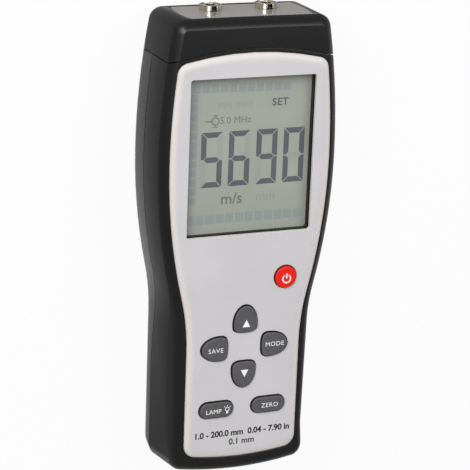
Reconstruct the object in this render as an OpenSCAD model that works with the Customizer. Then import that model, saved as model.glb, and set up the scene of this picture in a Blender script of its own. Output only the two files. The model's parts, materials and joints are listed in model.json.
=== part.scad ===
// Handheld ultrasonic thickness gauge, lying on its back.
// X runs across the face, Y along the body towards the probe sockets, Z out of the faceplate.
// The origin is below the middle of the body, on the plane of its back.

/* [Body] */
// Length of the body from its lower end to the top of its cap
body_len = 167.4; // [160:0.1:180]
// Depth of the body from its back to the rim round the faceplate
body_depth = 31.3; // [30:0.1:36]
// Width of the head at its widest
head_w = 66.4; // [64:0.1:72]
// Width of the grip
grip_w = 53.4; // [52:0.1:57]
// Distance from the cap's top down to the widest part of the head
head_drop = 50.7; // [44:0.1:56]
// Radius of the head's side above its widest part
head_r_up = 270; // [220:1:400]
// Radius of the head's side below its widest part
head_r_low = 205; // [180:1:260]
// Radius of the hollow between head and grip
neck_r = 80; // [50:1:110]
// Radius of the bowed lower end
end_r = 110; // [80:1:200]
// Radius of the lower end's corners
end_corner_r = 5.6; // [5.6:0.1:9]
// Radius of the cap's corners
top_corner_r = 5; // [4.5:0.1:8]
// Wall of the shells
wall = 2.2; // [1.8:0.1:2.6]
// Width and depth of the bevel round the head
head_bevel = 3.3; // [2.6:0.1:3.8]
// Width of the soft edge along the grip
grip_edge_w = 5; // [4:0.1:6]
// Depth of the soft edge along the grip
grip_edge_h = 8; // [6:0.1:9]
// Width of the soft edge round the lower end
end_edge_w = 4; // [3:0.1:4.6]
// Depth of the soft edge round the lower end
end_edge_h = 4.5; // [3:0.1:6]
// Radius of the edge round the back
back_r = 5; // [3.5:0.1:5.5]
// Height of the parting line above the back in the head
part_head_z = 13.5; // [12:0.1:15]
// Height of the parting line above the back in the grip
part_grip_z = 8.8; // [7:0.1:11]
// Width and depth of the groove along the parting line
part_groove = 0.3; // [0.1:0.05:0.5]

/* [Cap] */
// Height of the cap at its middle
cap_h = 10.5; // [9:0.1:14]
// Radius of the bowed seam below the cap
seam_r = 112; // [90:1:160]
// Width of the groove at the seam
seam_gap = 0.5; // [0.3:0.05:0.8]
// Reach of the cap's spigot below its side walls
spigot_h = 1.2; // [0.8:0.1:2]
// Width of the panel on the cap
panel_w = 47; // [44:0.1:49]
// Depth of the panel from front to back
panel_d = 20.6; // [18:0.1:22]
// Height of the panel's rear edge above the back
panel_z = 7; // [6:0.1:8]
// Thickness of the panel
panel_t = 1.2; // [0.8:0.1:1.6]
// Bow of the panel's side edges
panel_bow = 1.3; // [0.6:0.1:2]

/* [Faceplate] */
// Height of the faceplate above the rim
plate_proud = 0.7; // [0.4:0.1:1.2]
// Thickness of the faceplate's flat sheet
plate_t = 1.4; // [1.2:0.1:1.8]
// Depth of the skirt below the sheet
plate_skirt = 1; // [0.8:0.1:1.4]
// Thickness of the skirt
skirt_t = 1.8; // [1.4:0.1:2.4]
// Width of the black band between the faceplate and the seam
plate_band = 1.4; // [1.2:0.1:2.4]
// Radius of the faceplate's upper corners
plate_corner_r = 4.2; // [3:0.1:6]
// Width of the faceplate's pillowed rim
plate_rim_w = 3.2; // [2:0.1:3.6]
// Fall of the faceplate's pillowed rim
plate_rim_h = 1.1; // [0.7:0.1:1.3]
// Gap between the faceplate and the housing
plate_gap = 0.25; // [0.15:0.05:0.4]

/* [Display] */
// Width of the display window
window_w = 46.6; // [42:0.1:48]
// Height of the display window
window_h = 56.4; // [50:0.1:57]
// Distance from the cap's top down to the window
window_drop = 20.4; // [20:0.1:22]
// Thickness of the clear lens
lens_t = 1; // [0.8:0.1:1.3]
// Depth of the black wall between the sheet and the glass
frame_depth = 3; // [2.5:0.1:3.4]
// Radius of the window's corners
window_r = 1; // [0.4:0.1:2]
// Wall of the display frame
frame_wall = 1; // [0.8:0.1:1.4]
// Margin of the glass outside the window
glass_margin = 0.6; // [0.4:0.1:1]
// Thickness of the liquid crystal glass
glass_t = 2.8; // [2:0.1:3]
// Thickness of the backlight
light_t = 3; // [2:0.1:3.4]
// Height of the space between the backlight and the board
light_lift = 1.2; // [0.8:0.1:2]
// Width of the rubber connector strips
zebra_w = 2.4; // [1.8:0.1:3]

/* [Keys] */
// Length from the lower end to the window for which the keys are placed; they spread with the real one
key_zone = 90.6; // [86:0.1:96]
// Distance of the key pad's centre from the lower end
pad_y = 48.7; // [47.7:0.1:51]
// Distance of the left and right keys from the pad's centre
pad_x_step = 11.5; // [11.2:0.1:12.6]
// Distance of the up and down keys from the pad's centre
pad_y_step = 10.5; // [10.4:0.1:11.6]
// Length of a pad key
key_len = 10.7; // [9:0.1:11]
// Width of a pad key
key_w = 9.7; // [8.5:0.1:10]
// Distance of the oblong keys from the lower end
bar_y = 25.5; // [23.2:0.1:26.2]
// Distance of the oblong keys from the middle
bar_x = 10; // [9.4:0.1:10.8]
// Length of an oblong key
bar_len = 13.7; // [12:0.1:14.4]
// Width of an oblong key
bar_w = 6.5; // [5.5:0.1:7]
// Distance of the power key from the lower end
power_y = 73.7; // [71.7:0.1:74.7]
// Distance of the power key from the middle
power_x = 14.7; // [12:0.1:15.4]
// Diameter of the power key
power_d = 8.7; // [7.5:0.1:9.2]
// Height of the keys above the faceplate
key_proud = 1; // [0.95:0.05:1.6]
// Travel of the keys
key_travel = 0.8; // [0.5:0.1:0.9]
// Gap round the keys
key_gap = 0.25; // [0.2:0.05:0.35]
// Width of the flange that holds a key below the sheet
key_flange = 0.8; // [0.6:0.1:0.9]

/* [Sockets] */
// Distance of the sockets from the middle
socket_x = 10.4; // [9:0.1:12]
// Height of the socket axes above the back
socket_z = 14.2; // [13:0.1:18]
// Bore of the sockets
socket_bore = 5.1; // [4.4:0.1:5.4]
// Depth of the open bore
bore_depth = 5; // [4:0.1:5.6]
// Outer diameter of the socket barrel
barrel_d = 7; // [6.6:0.1:7.4]
// Outer diameter of the socket nut
nut_d = 9; // [8.6:0.1:10]
// Height of the socket nut
nut_h = 1.9; // [1.6:0.1:3]
// Width of the nut's slots
slot_w = 2.2; // [1.6:0.1:2.6]

/* [Battery] */
// Diameter of a cell
cell_d = 10.5; // [10:0.1:10.6]
// Length of a cell with its button
cell_len = 44.5; // [42:0.1:45]
// Gap between neighbouring cells
cell_gap = 0.3; // [0.1:0.1:0.4]
// Distance from the lower end to the battery bay
bay_y = 10.4; // [10:0.1:12]
// Room for the contacts at both ends of a cell together
contact_room = 5.4; // [5:0.1:6]
// Width of the battery door
door_w = 41.6; // [40:0.1:42]
// Thickness of the battery door
door_t = 2; // [1.6:0.1:2.2]
// Travel of the battery door before it lifts off
door_travel = 8; // [6:0.1:9]

/* [Hidden] */
$fn = 64;

// Colours
black_plastic = "#2b2b2c";
grey_plastic = "#cfcdcf";
key_rubber = "#5a5a5c";
nickel = "#d8d2bd";
steel = "#b9bcc0";
board_green = "#2f6b45";

// Places along the body and through its depth
fit_gap = 0.15;
cut_over = 1;
y_end = -(body_len + nut_h) / 2;
y_top = y_end + body_len;
y_wide = y_top - head_drop;
y_seam = y_top - cap_h;
face_z = body_depth + plate_proud;
sheet_z = face_z - plate_t;
seat_z = sheet_z - plate_skirt;
deck_t = 2.2;
deck_z = sheet_z - deck_t;

// Display stack, from the sheet down to the board
window_top = y_top - window_drop;
window_low = window_top - window_h;
window_y = window_top - window_h / 2;
lens_margin = 0.8;
lens_z = sheet_z - lens_t - fit_gap;
glass_top = sheet_z - frame_depth;
glass_z = glass_top - glass_t;
light_z = glass_z - light_t;
board_t = 1.6;
board_top = light_z - light_lift;
board_z = board_top - board_t;
glass_w = window_w + 2 * glass_margin;
glass_h = window_h + 2 * glass_margin;
frame_w = glass_w + 2 * (fit_gap + frame_wall);
frame_h = glass_h + 2 * (fit_gap + frame_wall);
frame_low = window_y - frame_h / 2;
frame_high = window_y + frame_h / 2;

// Key stack, from the sheet down to the keypad board
flange_t = 1.4;
stop_gap = 0.03;
flange_z = sheet_z - stop_gap - flange_t;
dome_gap = 0.1;
dome_z = flange_z - key_travel - dome_gap;
dome_h = 0.7;
dome_r = 3;
mat_t = 1.2;
mat_z = dome_z - dome_h - mat_t;
key_board_z = mat_z - board_t;
key_top = face_z + key_proud;
zone_fit = (window_low - y_end) / key_zone;
pad_mid = y_end + pad_y * zone_fit;
bar_mid = y_end + bar_y * zone_fit;
power_mid = y_end + power_y * zone_fit;
key_spots = [[power_x, power_mid], [0, pad_mid + pad_y_step], [0, pad_mid - pad_y_step],
  [-pad_x_step, pad_mid], [pad_x_step, pad_mid], [-bar_x, bar_mid], [bar_x, bar_mid]];

// Battery bay
cell_pitch = cell_d + cell_gap;
door_lift = 0.2;
door_top = door_lift + door_t;
cell_z = door_top + 0.3 + cell_d / 2;
bay_w = 3 * cell_pitch + cell_d + 0.8;
bay_low = y_end + bay_y;
bay_len = cell_len + contact_room;
bay_high = bay_low + bay_len;
bay_roof = cell_z + cell_d / 2 + 0.5;
bay_wall = 1.4;
door_high = bay_high + bay_wall + 1;
door_gap = 0.3;
tongue_len = 5;
tongue_t = 1;
tongue_out = 0.75;
tongue_rib = 1.2;
tongue_gap = 0.15;
tongue_ys = [for (k = [0:2])
  bay_low + door_travel + tongue_len / 2 + 1 + k * (bay_len - door_travel - tongue_len - 3) / 2];
contact_t = 0.4;
contact_size = cell_d - 2.5;
spring_len = 3.4;
plate_room = contact_room - spring_len;

// Fasteners
screw_d = 2.4;
screw_head_d = 4.6;
screw_head_h = 1.8;
boss_d = 6;
boss_in_d = screw_head_d + 0.6;
boss_tube_d = boss_in_d + 2.4;
boss_seat = 8;
top_boss_y = y_wide + 27;
board_margin = 1;
mid_boss_y = frame_low - board_margin - boss_d / 2 - 2 * fit_gap;
board_screw_d = 1.8;
board_screw_head_d = 3.6;
board_screw_head_h = 1.2;
board_boss_d = 4.6;

// Boards: the main one behind the display, the other behind the keys, between the two rows of bosses
spigot_t = 1.5;
board_w = 2 * (half_at(frame_high) - wall - spigot_t - 4 * fit_gap);
board_low = frame_low - board_margin;
board_high = frame_high + board_margin / 2;
key_board_w = 38;
key_board_low = bar_mid - bar_w / 2 - 7;
key_board_high = mid_boss_y - boss_d / 2 - 2 * fit_gap;
board_screw_edge = 3.4;
board_screw_in = 12;
board_screw_spots = concat(
  [for (s = [-1, 1]) [s * (key_board_w / 2 - board_screw_edge), key_board_low + board_screw_edge]],
  [for (s = [-1, 1]) [s * (key_board_w / 2 - board_screw_in), key_board_high - board_screw_edge]]);
header_w = 9;
header_d = 2.5;
header_y = key_board_high - 6;
tongue_w = 26;
chip_size = 14;
chip_t = 1.6;
coil_d = 9;
coil_h = 6;
tank_d = 5;
tank_h = 5;
crystal = [11, 4.5, 3];

// Sockets
barrel_top = y_top + nut_h - 0.4;
flange_d = barrel_d + 2.4;
cap_top_t = 3;
barrel_low = y_top - cap_top_t - 5.5;
insulator_y = barrel_top - bore_depth;
lead_d = 2;
lead_bend = 3;

// Half width of the head at a place along the body
function half_at(y) = let (r = y > y_wide ? head_r_up : head_r_low)
  head_w / 2 - r + sqrt(r * r - pow(y - y_wide, 2));

// Smooth step from 0 to 1
function ease(t) = let (u = min(1, max(0, t))) u * u * (3 - 2 * u);
function mix(a, b, t) = a + (b - a) * t;

// An outline's sizes: half widths of head and grip, height and radii of the sides, then the two ends
body_form = [head_w / 2, grip_w / 2, y_wide, head_r_up, head_r_low, neck_r,
  y_end, end_r, end_corner_r, y_top, 3000, top_corner_r];
plate_form = [head_w / 2 - head_bevel, grip_w / 2 - grip_edge_w - 0.1, y_wide,
  head_r_up - head_bevel, head_r_low - head_bevel, neck_r + grip_edge_w,
  y_end + grip_edge_w + 1.1, end_r + grip_edge_w, plate_corner_r + 0.6,
  y_seam - plate_band, seam_r - plate_band, plate_corner_r];

// The same outline, moved outwards all round by d
function grown(f, d) = [f[0] + d, f[1] + d, f[2], f[3] + d, f[4] + d, f[5] - d,
  f[6] - d, f[7] + d, f[8] + d, f[9] + d, f[10] + d, f[11] + d];

// Points of a straight stretch along the grip, without its ends
function run(x, from, to, steps) = [for (i = [1:steps - 1]) [x, mix(from, to, i / steps), 1, 0]];

// Points of a round stretch, each with the direction that faces out of the outline
function arc(c, r, from, to, steps, out = 1, first = 1) = [for (i = [first:steps])
  let (a = from + (to - from) * i / steps)
  [c.x + r * cos(a), c.y + r * sin(a), out * cos(a), out * sin(a)]];

// The right-hand meeting point of two circles
function meeting(c1, r1, c2, r2) =
  let (d = norm(c2 - c1), a = (r1 * r1 - r2 * r2 + d * d) / (2 * d), h = sqrt(r1 * r1 - a * a),
    m = c1 + (c2 - c1) * a / d, u = [c2.y - c1.y, c1.x - c2.x] / d,
    p = m + h * u, q = m - h * u)
  p.x > q.x ? p : q;

// Right half of an outline from the middle of its lower end to the middle of its upper end
function side(f) =
  let (low = [0, f[6] + f[7]],
    low_corner = [f[1] - f[8], low.y - sqrt(pow(f[7] - f[8], 2) - pow(f[1] - f[8], 2))],
    low_turn = atan2(low_corner.y - low.y, low_corner.x),
    head_low = [f[0] - f[4], f[2]],
    neck = [f[1] + f[5], f[2] - sqrt(pow(f[4] + f[5], 2) - pow(f[1] + f[5] - head_low.x, 2))],
    neck_turn = atan2(head_low.y - neck.y, head_low.x - neck.x),
    head_up = [f[0] - f[3], f[2]],
    high = [0, f[9] - f[10]],
    high_corner = meeting(head_up, f[3] - f[11], high, f[10] - f[11]),
    up_turn = atan2(high_corner.y - head_up.y, high_corner.x - head_up.x),
    high_turn = atan2(high_corner.y - high.y, high_corner.x))
  concat(
    arc(low, f[7], -90, low_turn, 4, 1, 0),
    arc(low_corner, f[8], low_turn, 0, 7),
    run(f[1], low_corner.y, neck.y, 6),
    arc(neck, f[5], 180, neck_turn, 5, -1, 0),
    arc(head_low, f[4], neck_turn - 180, 0, 7),
    arc(head_up, f[3], 0, up_turn, 8),
    arc(high_corner, f[11], up_turn, high_turn, 7),
    arc(high, f[10], high_turn, 90, 3));

// The whole outline, from its right half
function around(half) = concat(half,
  [for (i = [len(half) - 2:-1:1]) [-half[i][0], half[i][1], -half[i][2], half[i][3]]]);

module flat(f) {
  polygon([for (p = around(side(f))) [p[0], p[1]]]);
}

module slab(f, low, high) {
  translate([0, 0, low]) linear_extrude(high - low) flat(f);
}

// How far a place along the body belongs to the grip
neck_low = y_wide - sqrt(pow(head_r_low + neck_r, 2)
  - pow(grip_w / 2 + neck_r - head_w / 2 + head_r_low, 2));
neck_high = mix(neck_low, y_wide, neck_r / (neck_r + head_r_low));
function grip_share(y) = ease((neck_high - y) / (1.4 * (neck_high - neck_low)));
function part_share(y) = ease((neck_high + 4 - y) / (2.3 * (neck_high - neck_low)));
function part_z(y) = mix(part_head_z, part_grip_z, part_share(y));

// Front edge of the shells: a rounded bevel round the head that turns into a soft edge on the grip
edge_steps = 6;
function end_share(y) = ease((y_end + 16 - y) / 9);
function edge_in(y, t) = let (s = grip_share(y))
  mix(mix(head_bevel, grip_edge_w, s), end_edge_w, end_share(y)) * (1 - pow(sin(t), 2 / mix(1.3, 2, s)));
function edge_down(y, t) = let (s = grip_share(y))
  mix(mix(head_bevel, grip_edge_h, s), end_edge_h, end_share(y)) * (1 - pow(cos(t), 2 / mix(1.3, 2, s)));
function front_rings(points) = [for (i = [edge_steps:-1:0]) let (t = 90 * i / edge_steps)
  [for (p = points) let (d = edge_in(p[1], t))
    [p[0] - d * p[2], p[1] - d * p[3], body_depth - edge_down(p[1], t)]]];

// Back edge of the shells: a plain round
back_steps = 5;
function back_rings(points) = [for (i = [0:back_steps]) let (t = 90 * i / back_steps)
  [for (p = points) let (d = back_r * (1 - sin(t)))
    [p[0] - d * p[2], p[1] - d * p[3], back_r * (1 - cos(t))]]];

// One ring of the parting line, pulled in by d and lifted by up
function part_ring(points, d, up) = [for (p = points)
  [p[0] - d * p[2], p[1] - d * p[3], part_z(p[1]) + up]];

// Skin over rings that all begin at the middle of one end and mirror about X
module loft(rings) {
  n = len(rings[0]);
  k = n / 2;
  last = (len(rings) - 1) * n;
  polyhedron(
    points = [for (ring = rings) each ring],
    faces = concat(
      [for (j = [0:len(rings) - 2], i = [0:n - 1])
        [j * n + i, (j + 1) * n + i, (j + 1) * n + (i + 1) % n, j * n + (i + 1) % n]],
      [[0, 1, n - 1]],
      [for (i = [1:k - 2]) [i, i + 1, n - i - 1, n - i]],
      [[k - 1, k, k + 1]],
      [[last + n - 1, last + 1, last]],
      [for (i = [1:k - 2]) [last + n - i, last + n - i - 1, last + i + 1, last + i]],
      [[last + k + 1, last + k, last + k - 1]]));
}

// The bowed seam: everything below the cap lies inside this drum
module seam_drum(d) {
  translate([0, y_seam - seam_r, -cut_over])
    cylinder(r = seam_r + d, h = face_z + 2 * cut_over, $fn = 360);
}

module at_each(spots) {
  for (s = spots) translate([s.x, s.y, 0]) children();
}

// Screw bosses, with their mouths on the flat of the back
function boss_x(y) = half_at(y) - back_r - boss_in_d / 2 - 0.3;
top_bosses = [for (s = [-1, 1]) [s * boss_x(top_boss_y), top_boss_y]];
mid_bosses = [for (s = [-1, 1]) [s * boss_x(mid_boss_y), mid_boss_y]];

module screw_tube(low, high) {
  translate([0, 0, low]) cylinder(d = boss_tube_d, h = high - low);
}

module rear_housing() {
  points = around(side(body_form));
  color(black_plastic) difference() {
    union() {
      difference() {
        intersection() {
          loft(concat(back_rings(points), [part_ring(points, 0, -part_groove),
            part_ring(points, part_groove, 0)]));
          seam_drum(-seam_gap / 2);
        }
        slab(grown(body_form, -wall), back_r - 0.6, body_depth);
        slab(grown(body_form, -wall - 1.8), wall, back_r);
      }
      bay_tub();
      at_each(top_bosses) screw_tube(wall / 2, part_head_z);
      at_each(mid_bosses) screw_tube(wall / 2, part_z(mid_boss_y));
    }
    bay_space();
    door_space();
    at_each(concat(top_bosses, mid_bosses)) {
      translate([0, 0, -cut_over]) cylinder(d = boss_in_d, h = boss_seat + cut_over);
      cylinder(d = screw_d + 0.4, h = body_depth);
    }
  }
}

// Outside of the battery bay, with a shelf that closes the housing below it
module bay_tub() {
  bay_block(0);
  shelf_z = door_top + tongue_gap + tongue_t + 0.4;
  intersection() {
    slab(grown(body_form, -wall / 2), shelf_z, shelf_z + bay_wall);
    translate([-bay_w / 2 - bay_wall, y_end, 0])
      cube([bay_w + 2 * bay_wall, bay_y, shelf_z + bay_wall]);
  }
}

// Outer block of the bay, grown by d
module bay_block(d) {
  w = bay_w + 2 * (bay_wall + d);
  low = wall - 0.4;
  translate([-w / 2, bay_low - bay_wall - d, low])
    cube([w, bay_len + 2 * (bay_wall + d), bay_roof + bay_wall + d - low]);
}

module bay_space() {
  translate([-bay_w / 2, bay_low, door_top])
    cube([bay_w, bay_len, bay_roof - door_top]);
}

// Opening for the battery door, with notches where its tongues lift out
module door_space() {
  w = door_w + 2 * door_gap;
  translate([-w / 2, y_end - cut_over, -cut_over])
    cube([w, door_high + door_gap - y_end + cut_over, door_top + fit_gap + cut_over]);
  notch_w = door_w + 2 * (tongue_out + 0.4);
  for (y = tongue_ys)
    translate([-notch_w / 2, y - door_travel - tongue_len / 2 - 0.4, -cut_over])
      cube([notch_w, tongue_len + 0.8, door_top + cut_over + fit_gap]);
}

module front_housing() {
  points = around(side(body_form));
  frame_hole = [frame_w + 2 * fit_gap, frame_h + 2 * fit_gap];
  color(black_plastic) difference() {
    union() {
      difference() {
        intersection() {
          loft(concat([part_ring(points, part_groove, 0), part_ring(points, 0, part_groove)],
            front_rings(points)));
          seam_drum(-seam_gap / 2);
        }
        slab(grown(body_form, -wall), 0, deck_z);
      }
      at_each(top_bosses) front_boss(part_head_z, board_z);
      boss_webs();
      at_each(mid_bosses) front_boss(part_z(mid_boss_y), deck_z + 0.2);
      at_each(board_screw_spots) translate([0, 0, mat_z])
        cylinder(d = board_boss_d, h = deck_z + 0.2 - mat_z);
    }
    slab(grown(plate_form, plate_gap), sheet_z, face_z + cut_over);
    difference() {
      slab(grown(plate_form, plate_gap), seat_z, face_z);
      slab(grown(plate_form, -skirt_t - plate_gap), seat_z - cut_over, face_z);
    }
    translate([-frame_hole.x / 2, window_y - frame_hole.y / 2, deck_z - cut_over])
      cube([frame_hole.x, frame_hole.y, deck_t + 2 * cut_over]);
    key_shapes(key_flange + key_gap, deck_z - cut_over, face_z);
    bay_block(fit_gap);
    at_each(concat(top_bosses, mid_bosses)) cylinder(d = screw_d + 0.1, h = deck_z - 1);
    at_each(board_screw_spots) cylinder(d = board_screw_d + 0.1, h = sheet_z - 0.8);
  }
}

module front_boss(low, high) {
  translate([0, 0, low]) cylinder(d = boss_d, h = high - low);
}

// Webs that tie the upper bosses to the side walls
module boss_webs() {
  web_t = 1.6;
  intersection() {
    slab(grown(body_form, -wall / 2), part_head_z + 1, board_z);
    for (b = top_bosses) translate([b.x > 0 ? b.x : -head_w / 2, b.y - web_t / 2, part_head_z])
      cube([head_w / 2 - abs(b.x), web_t, board_z - part_head_z]);
  }
}

module top_cap() {
  half = side(body_form);
  low = y_seam - pow(head_w / 2, 2) / (2 * seam_r) - 8;
  upper = [for (p = half) if (p[1] > low) p];
  points = around(concat([[0, upper[0][1], 0, 0]], upper));
  color(black_plastic) difference() {
    union() {
      difference() {
        loft(concat(back_rings(points), front_rings(points)));
        seam_drum(seam_gap / 2);
        slab(grown(body_form, -cap_top_t), wall + 1.8, body_depth - deck_t - 1);
      }
      spigot();
    }
    panel_block(panel_t, fit_gap);
    for (s = [-1, 1]) translate([s * socket_x, y_top, socket_z]) rotate([90, 0, 0])
      cylinder(d = barrel_d + 0.2, h = cap_top_t + cut_over);
  }
}

// Ring below the cap that fits inside the two shells
module spigot() {
  low = y_seam - pow(head_w / 2, 2) / (2 * seam_r) - spigot_h;
  outer = grown(body_form, -wall - fit_gap);
  intersection() {
    difference() {
      slab(outer, back_r, deck_z);
      slab(grown(outer, -spigot_t), back_r + spigot_t, deck_z - spigot_t);
    }
    translate([-head_w / 2, low, 0]) cube([head_w, y_seam + 3 - low, body_depth]);
  }
}

// Panel outline on the cap: straight front and rear edges and bowed sides
module panel_block(depth, grow) {
  r = (pow(panel_d / 2, 2) + pow(panel_bow, 2)) / (2 * panel_bow);
  translate([0, y_top, panel_z + panel_d / 2]) rotate([90, 0, 0]) linear_extrude(depth)
    intersection() {
      square([panel_w + 2 * grow, panel_d + 2 * grow], center = true);
      translate([panel_w / 2 - r, 0]) circle(r = r + grow, $fn = 180);
      translate([r - panel_w / 2, 0]) circle(r = r + grow, $fn = 180);
    }
}

module connector_panel() {
  color("#9a9898") difference() {
    panel_block(panel_t, 0);
    for (s = [-1, 1]) translate([s * socket_x, y_top + cut_over, socket_z]) rotate([90, 0, 0])
      cylinder(d = barrel_d + 0.2, h = panel_t + 2 * cut_over);
  }
}

module faceplate() {
  points = around(side(plate_form));
  rim_steps = 5;
  rings = concat(
    [[for (p = points) [p[0], p[1], seat_z]]],
    [for (i = [0:rim_steps]) let (t = 90 * i / rim_steps)
      [for (p = points) let (d = plate_rim_w * (1 - cos(t)))
        [p[0] - d * p[2], p[1] - d * p[3], face_z - plate_rim_h * (1 - sin(t))]]]);
  color(grey_plastic) difference() {
    loft(rings);
    slab(grown(plate_form, -skirt_t), seat_z - cut_over, sheet_z);
    display_box(frame_w + 2 * fit_gap, frame_h + 2 * fit_gap, seat_z - cut_over, sheet_z);
    key_shapes(key_flange + key_gap, seat_z - cut_over, sheet_z);
    display_opening(seat_z, face_z + cut_over);
    key_shapes(key_gap, seat_z - cut_over, face_z + cut_over);
  }
}

// Key outlines, each grown by d
function egg(d) = [for (a = [0:9:351])
  let (w = key_w / 2 + d, high = 0.68 * key_len + d, low = 0.32 * key_len + d, c = cos(a), s = sin(a),
    mid = -0.18 * key_len)
  s >= 0 ? [w * c, mid + high * s]
    : [w * sign(c) * pow(abs(c), 0.62), mid - low * pow(-s, 0.62)]];
function bar(d) = [for (a = [0:9:351])
  let (r = bar_w / 2 + d, x = bar_len / 2 - bar_w / 2)
  [r * cos(a) + (cos(a) > 0.001 ? x : cos(a) < -0.001 ? -x : 0), r * sin(a)]];
function disc(d) = [for (a = [0:9:351]) (power_d / 2 + d) * [cos(a), sin(a)]];

// Each key's outline kind, place and turn
key_kinds = ["disc", "egg", "egg", "egg", "egg", "bar", "bar"];
key_turns = [0, 0, 180, 90, -90, 0, 0];
function key_outline(kind, d) = kind == "egg" ? egg(d) : kind == "bar" ? bar(d) : disc(d);

module at_key(i) {
  translate([key_spots[i].x, key_spots[i].y, 0]) rotate([0, 0, key_turns[i]]) children();
}

// Prisms of all key outlines, for the holes
module key_shapes(d, low, high) {
  for (i = [0:6]) at_key(i) translate([0, 0, low]) linear_extrude(high - low)
    polygon(key_outline(key_kinds[i], d));
}

// A key: a cap with a soft upper edge above a flange that the sheet holds back
module key(i, tint) {
  soft = 0.8;
  crown = 0.5;
  steps = 3;
  kind = key_kinds[i];
  outline = key_outline(kind, 0);
  n = len(outline);
  levels = concat([[0, flange_z + flange_t - 0.2]],
    [for (j = [0:steps]) let (t = 90 * j / steps) [soft * (1 - cos(t)), key_top - crown * (1 - sin(t))]]);
  points = [for (l = levels) each [for (p = key_outline(kind, -l[0])) [p.x, p.y, l[1]]]];
  faces = concat(
    [for (j = [0:len(levels) - 2], k = [0:n - 1])
      [j * n + k, (j + 1) * n + k, (j + 1) * n + (k + 1) % n, j * n + (k + 1) % n]],
    [[for (k = [0:n - 1]) k]],
    [[for (k = [n - 1:-1:0]) (len(levels) - 1) * n + k]]);
  color(tint) at_key(i) {
    polyhedron(points = points, faces = faces);
    translate([0, 0, flange_z]) linear_extrude(flange_t) polygon(key_outline(kind, key_flange));
  }
}

module power_key() { key(0, "#e8231c"); }
module up_key() { key(1, key_rubber); }
module down_key() { key(2, key_rubber); }
module left_key() { key(3, key_rubber); }
module right_key() { key(4, key_rubber); }
module lamp_key() { key(5, key_rubber); }
module zero_key() { key(6, key_rubber); }

// Box in the plane of the display, centred on the window
module display_box(w, h, low, high) {
  translate([-w / 2, window_y - h / 2, low]) cube([w, h, high - low]);
}

// Window opening with rounded corners
module display_opening(low, high) {
  translate([0, window_y, low]) linear_extrude(high - low) {
    square([window_w - 2 * window_r, window_h], center = true);
    square([window_w, window_h - 2 * window_r], center = true);
    for (x = [-1, 1], y = [-1, 1])
      translate([x * (window_w / 2 - window_r), y * (window_h / 2 - window_r)]) circle(r = window_r);
  }
}

module lcd_frame() {
  color("#151516") difference() {
    display_box(frame_w, frame_h, board_top, sheet_z);
    display_opening(board_top, face_z);
    display_box(window_w + 2 * (lens_margin + fit_gap), window_h + 2 * (lens_margin + fit_gap),
      lens_z, face_z);
    display_box(glass_w + 2 * fit_gap, glass_h + 2 * fit_gap, board_top - cut_over, glass_top);
  }
}

module lcd_window() {
  color("#dfe6e2", 0.35) display_box(window_w + 2 * lens_margin, window_h + 2 * lens_margin,
    lens_z, lens_z + lens_t);
}

module lcd_glass() {
  color("#9b9f97") display_box(glass_w, glass_h, glass_z, glass_top);
}

module lcd_backlight() {
  feet = 4;
  color("#eceeea") union() {
    display_box(glass_w, glass_h - 2 * (zebra_w + 0.3), light_z, glass_z);
    for (x = [-1, 1], y = [-1, 1])
      translate([x * (glass_w / 2 - feet) - feet / 2, window_y + y * (glass_h / 2 - 3 * feet) - feet / 2,
        board_top]) cube([feet, feet, light_z - board_top]);
  }
}

module zebra_strips() {
  color("#3a3a40") for (s = [-1, 1])
    translate([-window_w / 2, window_y + s * (glass_h - zebra_w) / 2 - zebra_w / 2, board_top])
      cube([window_w, zebra_w, glass_z - board_top]);
}

// Board below the display, with a tongue that reaches under the keypad board
module main_board() {
  tongue_low = header_y - board_margin;
  color(board_green) translate([0, 0, board_z]) linear_extrude(board_t) {
    translate([-board_w / 2, board_low]) square([board_w, board_high - board_low]);
    translate([-tongue_w / 2, tongue_low]) square([tongue_w, board_low + board_margin - tongue_low]);
  }
}

module main_chip() {
  color("#1c1c1e") translate([-chip_size / 2, window_y - chip_size / 2, board_z - chip_t])
    cube([chip_size, chip_size, chip_t]);
}

// Large components on the back of the main board: pulse coil, two capacitors and a crystal
module board_parts() {
  high = window_y + window_h / 4;
  low = window_y - window_h / 4;
  left = -window_w / 3;
  color("#8c7a4a") {
    translate([left, high, board_z - coil_h]) cylinder(d = coil_d, h = coil_h);
    for (k = [0, 1]) translate([-left - k * (tank_d + 2), high, board_z - tank_h])
      cylinder(d = tank_d, h = tank_h);
    translate([left - crystal.x / 2, low - crystal.y, board_z - crystal.z]) cube(crystal);
  }
}

module key_board() {
  color(board_green) difference() {
    translate([-key_board_w / 2, key_board_low, key_board_z])
      cube([key_board_w, key_board_high - key_board_low, board_t]);
    at_each(board_screw_spots) cylinder(d = board_screw_d + 0.4, h = face_z);
  }
}

module board_header() {
  color("#202022") translate([-header_w / 2, header_y, board_top])
    cube([header_w, header_d, key_board_z - board_top]);
}

// Silicone sheet with a dome under each key
module keypad_mat() {
  edge = 0.8;
  color("#8f8f92") difference() {
    union() {
      translate([-key_board_w / 2 + edge, key_board_low + edge, mat_z])
        cube([key_board_w - 2 * edge, key_board_high - key_board_low - 2 * edge, mat_t]);
      at_each(key_spots) translate([0, 0, mat_z + mat_t / 2])
        cylinder(r = dome_r, h = mat_t / 2 + dome_h);
    }
    at_each(board_screw_spots) cylinder(d = board_boss_d + 2 * fit_gap, h = face_z);
  }
}

module screw(d, head_d, head_h, length) {
  cylinder(d = d, h = length);
  translate([0, 0, -head_h]) difference() {
    cylinder(d = head_d, h = head_h);
    for (a = [0, 90]) rotate([0, 0, a]) translate([-head_d / 3, -0.3, -cut_over])
      cube([head_d * 2 / 3, 0.6, cut_over + head_h / 2]);
  }
}

module board_screws() {
  color(steel) at_each(board_screw_spots) translate([0, 0, key_board_z])
    screw(board_screw_d, board_screw_head_d, board_screw_head_h, deck_z - key_board_z);
}

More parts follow.
